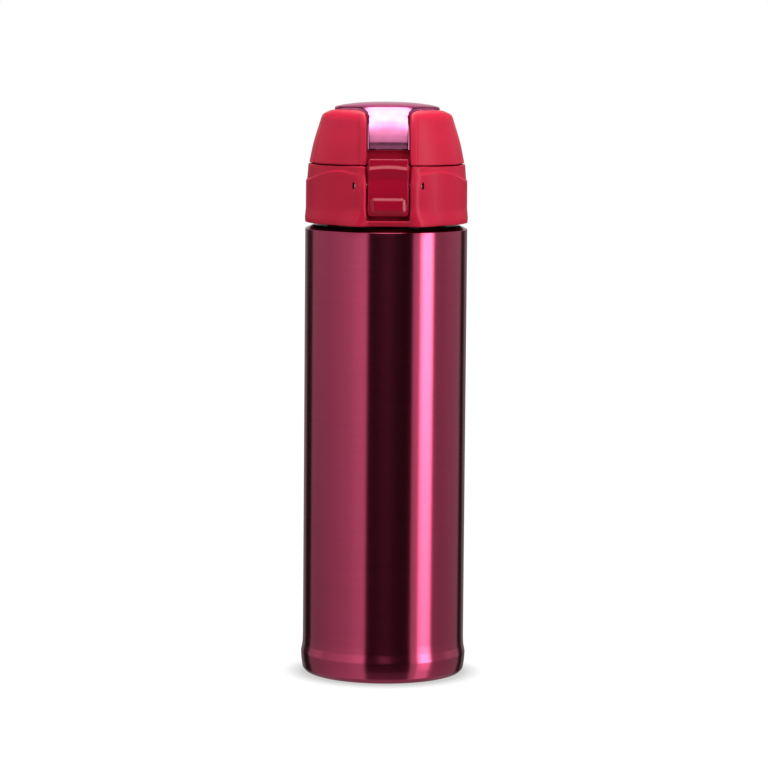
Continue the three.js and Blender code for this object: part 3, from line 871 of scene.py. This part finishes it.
def trim_plan(x, y):
    """Signed distance to the trim's plan: a disc and a strip to the front, with filleted junctions."""
    return weld(np.hypot(x, y) - DISC_R, np.maximum(np.abs(x) - TONGUE_HALF, y), 5.0)


def trim_field(x, y, z):
    """Plated shell: the strip down the lid's front and the disc on its top, in one."""
    surface = trim_surface(x, y, z)
    shape = meet(surface, trim_plan(x, y), 0.55)
    shape = meet(shape, TONGUE_END_Z - z, 0.35)
    return meet(shape, -(surface + 1.05), 0.1)


def lid_shell_field():
    """Lid: a round side band, a prouder front panel, a channel for the trim, and the hinge knuckles."""
    cavity = outline_field(
        [
            (0, 200, 0), (29.15, 200, 0), (29.15, LID_BOTTOM_Z, 0), (27.4, 214.4, 50),
            (24.3, 223.0, 3), (0, 226.8, 0),
        ],
        closed=False,
    )
    half_panel = math.radians(PANEL_AZIMUTH)

    def field(x, y, z):
        r, ax = np.hypot(x, y), np.abs(x)
        band = lid_profile(r, z)
        beside = ax * math.cos(half_panel) + y * math.sin(half_panel)
        panel = meet(panel_profile(r, z), beside, 0.3)
        shape = weld(band + 0.1 + 0.55 * smooth_step(beside, 3.5, 0.3), panel, 0.06)
        # ridge round the trim's strip: flatter across than the panels, fading out on top
        fade = smooth_step(z, 227, 221)
        ridge = panel_profile(np.sqrt(y**2 + 0.6 * x**2), z) + 0.15 + 1.2 * (1 - fade)
        ridge = meet(meet(ridge, ax - 11.2, 0.5), y + 12, 0.1)
        shape = weld(shape, ridge, 0.9)
        shape = np.maximum(shape, LID_EDGE_Z - z)
        channel = np.maximum(trim_plan(x, y) - 0.28, -(trim_surface(x, y, z) + 1.35))
        rim = 0.5 + 0.8 * smooth_step(z, 219, 226)
        shape = meet(shape, -channel, rim)
        shape = np.maximum(shape, -cavity(r, z))
        latch_wall = rounded_box([ax - 10.2, np.abs(y + 27.3) - 0.9, np.abs(z - 209.9) - 3.6], 0.2)
        shape = weld(shape, latch_wall, 0.3)
        recess = rounded_box([ax - POCKET_HALF + 0.15, y + 27.5, z - TONGUE_END_Z], 0.3)
        shape = meet(shape, -recess, 0.35)
        ledge = rounded_box([ax - 5, np.abs(y + 28.6) - 0.7, np.abs(z - CATCH_Z) - 0.45], 0.15)
        shape = weld(shape, ledge, 0.2)
        knuckles = rod_x(y, z, HINGE_Y, HINGE_Z, KNUCKLE_R, x, *LID_KNUCKLES)
        shape = weld(shape, knuckles, 0.6)
        reliefs = rod_x(y, z, HINGE_Y, HINGE_Z, KNUCKLE_ROOM_R, x, 8.0, 12.8, 0.1)
        shape = meet(shape, -reliefs, 0.2)
        shape = meet(shape, -rod_x(y, z, HINGE_Y, HINGE_Z, KNUCKLE_ROOM_R, x, -3.3, 3.3, 0.1), 0.2)
        return np.maximum(shape, hinge_bore(y, z))

    return field


def button_field():
    """Button: an upright plate with a ridge near its top and a raised pad at its foot."""
    side = outline_field(
        [
            (-31.95, 185.9, 0.7), (-32.5, 195, 6), (-32.25, 200.8, 6), (-33.15, 204.7, 0.9),
            (-32.4, 206.1, 0.5), (-32.35, 208.6, 0.5), (-30.2, 208.6, 0.3), (-29.6, 207.8, 0.3),
            (-30.3, 206.8, 0.3), (-30.2, 199.6, 0.3), (-28.2, 199.1, 1.2), (-28.2, 196.7, 1.2),
            (-30.2, 196.2, 0.3), (-30.2, 186.0, 0.5),
        ],
        cell=0.05,
    )

    def field(x, y, z):
        ax = np.abs(x)
        half = BUTTON_HIGH[0] - 0.35 * (z - BUTTON_LOW[2]) / (BUTTON_HIGH[2] - BUTTON_LOW[2])
        flange = smooth_step(y, -31.7, -31.1) * smooth_step(z, 206.5, 205.5)
        half = half + (POCKET_HALF - 0.22 - half) * flange
        front = rounded_box([ax - half, BUTTON_LOW[2] - z], 2.0)
        arch = 0.7 * (ax / 8) ** 2 * smooth_step(z, 198, 202) * smooth_step(z, 207.5, 205.5)
        shape = meet(side(y, z + arch), front, 0.65)
        top_corner = rounded_box([ax - half, z - BUTTON_HIGH[2]], 0.7)
        shape = meet(shape, top_corner, 0.3)
        to_edge = -rounded_box([ax - 7.0, np.abs(z - PAD_Z) - 3.3], 1.4)
        pad = np.maximum(-32.3 - 0.75 * smooth_step(to_edge, -0.2, 1.7) - y, y + 31.2)
        shape = np.minimum(shape, np.maximum(pad * 0.85, -to_edge))
        shape = weld(shape, rod_x(y, z, PIVOT_Y, PIVOT_Z, 1.9, x, 0, 8.35, 0.1), 0.2)
        shape = np.maximum(shape, PIN_BORE_R - np.hypot(y - PIVOT_Y, z - PIVOT_Z))
        seat = np.maximum(np.hypot(x, z - BUTTON_SPRING_Z) - 2.3, -(y + 31.2))
        return np.maximum(shape, -seat)

    return field


def stopper_field():
    """Inner moulding: deck, plug and threaded skirt in one, with holes for spout and vent."""
    half = outline_field(
        [
            (0, 201.2, 0), (17.4, 201.2, 1.0), (17.4, 188, 0.7), (19.6, 188, 0.8),
            (19.7, 200.9, 0.6), (24.8, 200.9, 0.6), (24.9, 184, 0.6), (27, 184, 0.6),
            (27, 201.2, 0.6), (29.6, 201.2, 0.3), (29.6, 203.2, 0.3), (0, 203.2, 0),
        ],
        closed=False,
    )

    def field(x, y, z):
        r = np.hypot(x, y)
        shape = half(r, z)
        shape = meet(shape, -(y + 28.1), 0.2)
        from_spout = np.hypot(x, y - SPOUT_Y)
        shape = meet(shape, 7.8 - from_spout, 0.05)
        shape = meet(shape, -np.maximum(from_spout - 9.7, 202.0 - z), 0.05)
        return meet(shape, 1.65 - np.hypot(x, y - VENT_Y), 0.2)

    return field


# ---------------------------------------------------------------- cap
def mouth_gasket():
    low, high = LIP_Z + 0.3, LIP_Z + 2.4
    return turned(
        "mouth_gasket",
        [(20.0, low, 0.5), (23.3, low, 0.5), (23.3, high, 0.4), (20.0, high, 0.4)],
        SILICONE,
    )


def cap_thread(start):
    path = helix_bead(24.9, 184.3, -0.6, 0.75, math.pi * (start + 0.5))
    return swept(f"cap_thread_{start + 1}", path, 0.7, GREY, sides=20)


def spout():
    """Drinking spout: a flange on the deck and a waisted tube with a rolled rim."""
    return turned(
        "spout",
        [
            (6.2, 196.5, 0.3), (7.5, 196.5, 0.3), (7.5, 203.5, 0.1), (10.2, 203.5, 0.3),
            (10.2, 204.3, 0.3), (8.7, 205, 0.8), (7.8, 207, 3), (7.5, 213, 3), (8.1, 214.2, 0.4),
            (7.7, 215.1, 0.5), (6.9, 215.3, 0.4), (6.2, 214.3, 0.6),
        ],
        GREY,
        192,
        SPOUT_Y,
    )


def spout_gasket():
    return turned(
        "spout_gasket",
        [(8.2, 202.3, 0.3), (9.4, 202.3, 0.3), (9.4, 203.2, 0.3), (8.2, 203.2, 0.3)],
        SILICONE,
        128,
        SPOUT_Y,
    )


def air_vent():
    """Silicone plug with a pinhole, its waist held in the deck."""
    return turned(
        "air_vent",
        [
            (0.35, 199.3, 0.1), (2.2, 199.3, 0.4), (2.7, 200.4, 0.3), (1.5, 200.9, 0.2),
            (1.5, 203.4, 0.1), (2.8, 203.4, 0.3), (2.8, 204.0, 0.4), (1.6, 204.5, 0.4),
            (0.35, 204.1, 0.2),
        ],
        SILICONE,
        96,
        VENT_Y,
    )


def pin(name, y, z, radius, half_length):
    """Steel pin along X with domed ends."""
    dome = 0.8 * radius
    corners = [
        (0, -half_length, 0), (radius, -half_length, dome), (radius, half_length, dome),
        (0, half_length, 0),
    ]
    vertices, faces = lathe_mesh(fillet(corners), 48)
    vertices = np.array(vertices)[:, [2, 0, 1]] + (0, y, z)
    return new_object(name, vertices, faces, WIRE)


def cap():
    place(mouth_gasket(), "seal_ring", "silicone", "mouth_gasket")
    housing = moulded("cap_housing", cap_housing_field(), CAP_LOW - 1.5, CAP_HIGH + 1.5, RED)
    place(housing, "cap", "red_plastic", "cap_housing")
    low, high = box_mm("stopper")
    body = moulded("stopper", stopper_field(), low - 1, high + 1, GREY, 0.45)
    place(body, "cap", "grey_plastic", "stopper")
    for start in range(THREAD_STARTS):
        place(cap_thread(start), "cap", "grey_plastic", "stopper")
    place(spout(), "cap", "grey_plastic", "spout")
    place(spout_gasket(), "cap", "silicone", "spout_gasket")
    place(air_vent(), "cap", "silicone", "air_vent")
    hinge = pin("hinge_pin", HINGE_Y, HINGE_Z, 0.9, 12.15)
    place(hinge, "cap", "spring_steel", "hinge_pin")
    pivot = pin("button_pin", PIVOT_Y, PIVOT_Z, BUTTON_PIN_R, BUTTON_PIN_HALF)
    place(pivot, "cap", "spring_steel", "button_pin")


def lid_spring():
    """Coil round the hinge pin, the spring that the lid's turning winds up, drawn in one shape."""
    coil = coil_points(1.75, 1.2, 4.25)
    points = np.stack([coil[:, 2], HINGE_Y + coil[:, 1], HINGE_Z + coil[:, 0]], 1)
    spring = swept("lid_spring", points, 0.35, WIRE, sides=14)
    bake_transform(spring)
    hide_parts("lid_spring")


def button_spring():
    """Coil from the cap's wall to the seat behind the button's pad, the spring that a press of the button
    squashes, drawn in one shape.
    """
    low, high = box_mm("button_spring")
    turns = 3
    coil = coil_points(1.7, (high[1] - low[1] - 0.5) / turns, turns)
    along = (low[1] + high[1]) / 2 + coil[:, 2]
    points = np.stack([coil[:, 0], along, BUTTON_SPRING_Z + coil[:, 1]], 1)
    spring = swept("button_spring", points, 0.22, WIRE, sides=12)
    place(spring, "cap", "spring_steel", "button_spring")
    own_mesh(spring)


# ---------------------------------------------------------------- lid and button
def lid_liner():
    """Inner skin of the lid, with a boss that carries the spout's seal."""
    return turned(
        "lid_liner",
        [
            (0, 220.0, 0), (2.6, 220.0, 0.3), (2.6, 218.2, 0.3), (5, 218.2, 0.4), (5, 220.0, 0.5),
            (23.2, 220.0, 1.5), (25.3, 213, 12), (25.8, 206.8, 0.4), (27, 206.8, 0.4),
            (26.5, 213.4, 12), (24.0, 221.4, 1.8), (0, 221.4, 0),
        ],
        GREY,
    )


def spout_seal():
    """Stepped silicone plug that closes the spout."""
    return turned(
        "spout_seal",
        [
            (0, 214.0, 0), (4.6, 214.0, 0.9), (5.3, 215.6, 0.6), (8.8, 215.6, 0.5),
            (8.8, 217.4, 0.4), (8.0, 217.7, 0.3), (8.0, 219.7, 0.4), (0, 219.7, 0),
        ],
        SILICONE,
        160,
        SPOUT_Y,
    )


def lid():
    low, high = box_mm("lid_shell")
    shell = moulded("lid_shell", lid_shell_field(), low - 1.5, high + 1.5, RED)
    place(shell, "lid", "red_plastic", "lid_shell")
    trim = moulded("lid_trim", trim_field, TRIM_LOW - 1, TRIM_HIGH + 1.5, CHROME)
    place(trim, "lid", "pink_chrome", "lid_trim")
    place(lid_liner(), "lid", "grey_plastic", "lid_liner")
    place(spout_seal(), "lid", "silicone", "spout_seal")


def button():
    face = moulded("release_button", button_field(), BUTTON_LOW - 1, BUTTON_HIGH + 1, POLISHED_SHADED_RED, 0.2)
    place(face, "button", "red_plastic", "release_button")


# ---------------------------------------------------------------- studio
CAMERA_AT = (-0.0004, -1.4093, 0.2623)
CAMERA_PITCH = math.radians(5.893)
CAMERA_ROLL = math.radians(0.473)
CAMERA_TURN = math.radians(-1.16)
LENS, SENSOR = 164.83, 36


def camera():
    """Long lens a little above the bottle's top, turned round the bottle's axis by about a degree."""
    pitch, roll = CAMERA_PITCH, CAMERA_ROLL
    forward = Vector((0, math.cos(pitch), -math.sin(pitch)))
    up = Vector((0, math.sin(pitch), math.cos(pitch)))
    right = Vector((1, 0, 0))
    across = right * math.cos(roll) + up * math.sin(roll)
    upward = up * math.cos(roll) - right * math.sin(roll)
    matrix = Matrix((across, upward, -forward)).transposed().to_4x4()
    matrix.translation = CAMERA_AT
    data = bpy.data.cameras.new("camera")
    data.lens, data.sensor_width = LENS, SENSOR
    data.clip_start, data.clip_end = 0.05, 20
    obj = bpy.data.objects.new("camera", data)
    obj.matrix_world = Matrix.Rotation(CAMERA_TURN, 4, "Z") @ matrix
    bpy.context.scene.collection.objects.link(obj)
    bpy.context.scene.camera = obj


# azimuth from and to, softness of either edge, level, then the level low down, how low that is, and high up
SOFTBOXES = [
    (-129, -27, 4, 2.5, 0.30, 0.72, -0.25, 1.7),
    (-81, -27, 45, 2.5, 0.26, 0.72, -0.25, 1.7),
    (-45, -27, 14, 2.5, 0.20, 0.6, -0.25, 1.7),
    (38, 51, 2, 2, 0.70, 0.7, -0.25, 0.8),
    (51, 69, 4, 4, 5.2, 0.0, -0.26, 0.6),
    (49, 69, 2, 3, 0.95, 0.9, -0.2, 0.6),
    (69, 132, 4, 5, 0.33, 0.75, -0.25, 1.4),
    (149, 209, 6, 6, 0.2, 0.7, -0.3, 1.0),
]
ROOM_LEVEL = 0.011
FLOOR_LEVEL = 0.3
BACKDROP_LEVEL = 0.3
OVERHEAD_LEVEL = 4.1
OVERHEAD_HALF_WIDTH = 0.25


class World(Nodes):
    """The world's node tree, with directions measured as a photographer would."""

    def __init__(self, name):
        world = bpy.data.worlds.new(name)
        world.use_nodes = True
        bpy.context.scene.world = world
        super().__init__(world.node_tree)
        self.tree.nodes.clear()
        direction = self.add("ShaderNodeTexCoord").outputs["Generated"]
        self.right, back, self.up = self.add("ShaderNodeSeparateXYZ", i0=direction).outputs
        front = self.math("MULTIPLY", back, -1.0)
        self.azimuth = self.degrees(self.right, front)
        self.over_the_top = self.degrees(self.up, front)

    def degrees(self, a, b):
        return self.math("MULTIPLY", self.math("ARCTAN2", a, b), 180 / math.pi)

    def ramp(self, value, start, end, low=0.0, high=1.0):
        settings = {"interpolation_type": "SMOOTHSTEP"}
        node = self.add("ShaderNodeMapRange", settings, i0=value, i1=start, i2=end, i3=low, i4=high)
        return node.outputs[0]

    def product(self, first, *others):
        for other in others:
            first = self.math("MULTIPLY", first, other)
        return first


def softbox_light(w):
    """Light of the tall boxes round the bottle, fading out towards straight up and straight down."""
    turned_back = w.math("LESS_THAN", w.azimuth, -135.0)
    wrapped = w.math("ADD", w.azimuth, w.math("MULTIPLY", turned_back, 360.0))
    total = 0.0
    for start, end, soft_a, soft_b, level, low_down, low_height, high_up in SOFTBOXES:
        angle = wrapped if end > 180 else w.azimuth
        band = w.product(
            w.ramp(angle, start - soft_a, start + soft_a),
            w.ramp(angle, end + soft_b, end - soft_b),
            w.ramp(w.up, low_height, 0.02, low_down, 1.0),
            w.ramp(w.up, 0.05, 0.35, 1.0, high_up),
            level,
        )
        total = w.math("ADD", total, band)
    poles = w.math("MULTIPLY", w.ramp(w.up, 0.85, 0.6), w.ramp(w.up, -0.85, -0.5))
    return w.math("MULTIPLY", total, poles)


def overhead_light(w):
    """Light of the long box overhead, from just above the camera, over the top, to the back."""
    over = w.over_the_top
    front_edge = w.ramp(over, 21.5, 24.5, 0.0, 0.8)
    arc = w.math("ADD", front_edge, w.ramp(over, 22, 74, 0.0, OVERHEAD_LEVEL))
    arc = w.math("MULTIPLY", arc, w.ramp(over, 156, 138))
    low_strip = w.math("MULTIPLY", w.ramp(over, 14.5, 16), w.ramp(over, 19, 17.5, 0.15, 0.45))
    arc = w.math("ADD", arc, low_strip)
    front_width = w.ramp(over, 25, 60, 0.1, OVERHEAD_HALF_WIDTH)
    half_width = w.math("MINIMUM", front_width, w.ramp(over, 150, 110, 0.04, OVERHEAD_HALF_WIDTH))
    from_middle = w.math("ABSOLUTE", w.math("SUBTRACT", w.right, 0.02))
    sides = w.ramp(w.math("SUBTRACT", from_middle, half_width), 0.06, -0.02)
    backdrop = w.math("MULTIPLY", w.ramp(over, 154, 160), w.ramp(over, 180, 176))
    return w.math("ADD", w.math("MULTIPLY", arc, sides), w.math("MULTIPLY", backdrop, BACKDROP_LEVEL))


def studio_world():
    """White to the eye; to the bottle, a dim room with tall softboxes either side and a long one overhead."""
    w = World("studio")
    bounce = w.ramp(w.up, -0.3, -0.8, ROOM_LEVEL, FLOOR_LEVEL)
    total = w.math("ADD", w.math("ADD", softbox_light(w), bounce), overhead_light(w))
    room = w.add("ShaderNodeBackground", i0=(1, 1, 1, 1), i1=total)
    seen = w.add("ShaderNodeBackground", i0=(1, 1, 1, 1), i1=1.0)
    to_eye = w.add("ShaderNodeLightPath").outputs["Is Camera Ray"]
    mixed = w.add("ShaderNodeMixShader", i0=to_eye, i1=room.outputs[0], i2=seen.outputs[0])
    w.add("ShaderNodeOutputWorld", i0=mixed.outputs[0])


def floor():
    """Pale floor that glows a little, with a painted shadow close round the foot."""
    s = Shader("pale_floor", Roughness=0.9, Specular_IOR_Level=0.0)
    # painted shadow: the floor's glow is dimmed near the foot wherever ambient occlusion finds the bottle
    painted_shadow_ao = s.add("ShaderNodeAmbientOcclusion", {"samples": 16}, Distance=0.01)
    s.drive("Base Color", rgb(0.05, 0.05, 0.05))
    s.bsdf.inputs["Emission Color"].default_value = rgb(1, 1, 1)
    s.drive("Emission Strength", s.spread(painted_shadow_ao.outputs["AO"], 0.6, 0.97, 0.5, 0.97))
    size, z = 3000, -0.1
    corners = [(-size, -size, z), (size, -size, z), (size, size, z), (-size, size, z)]
    plane = new_object("floor", corners, [[0, 1, 2, 3]], s.material)
    plane.visible_glossy = plane.visible_diffuse = False


camera()
studio_world()
floor()
bpy.context.scene.view_settings.view_transform = "Standard"
flask()
cap()
lid_spring()
button_spring()
lid()
button()
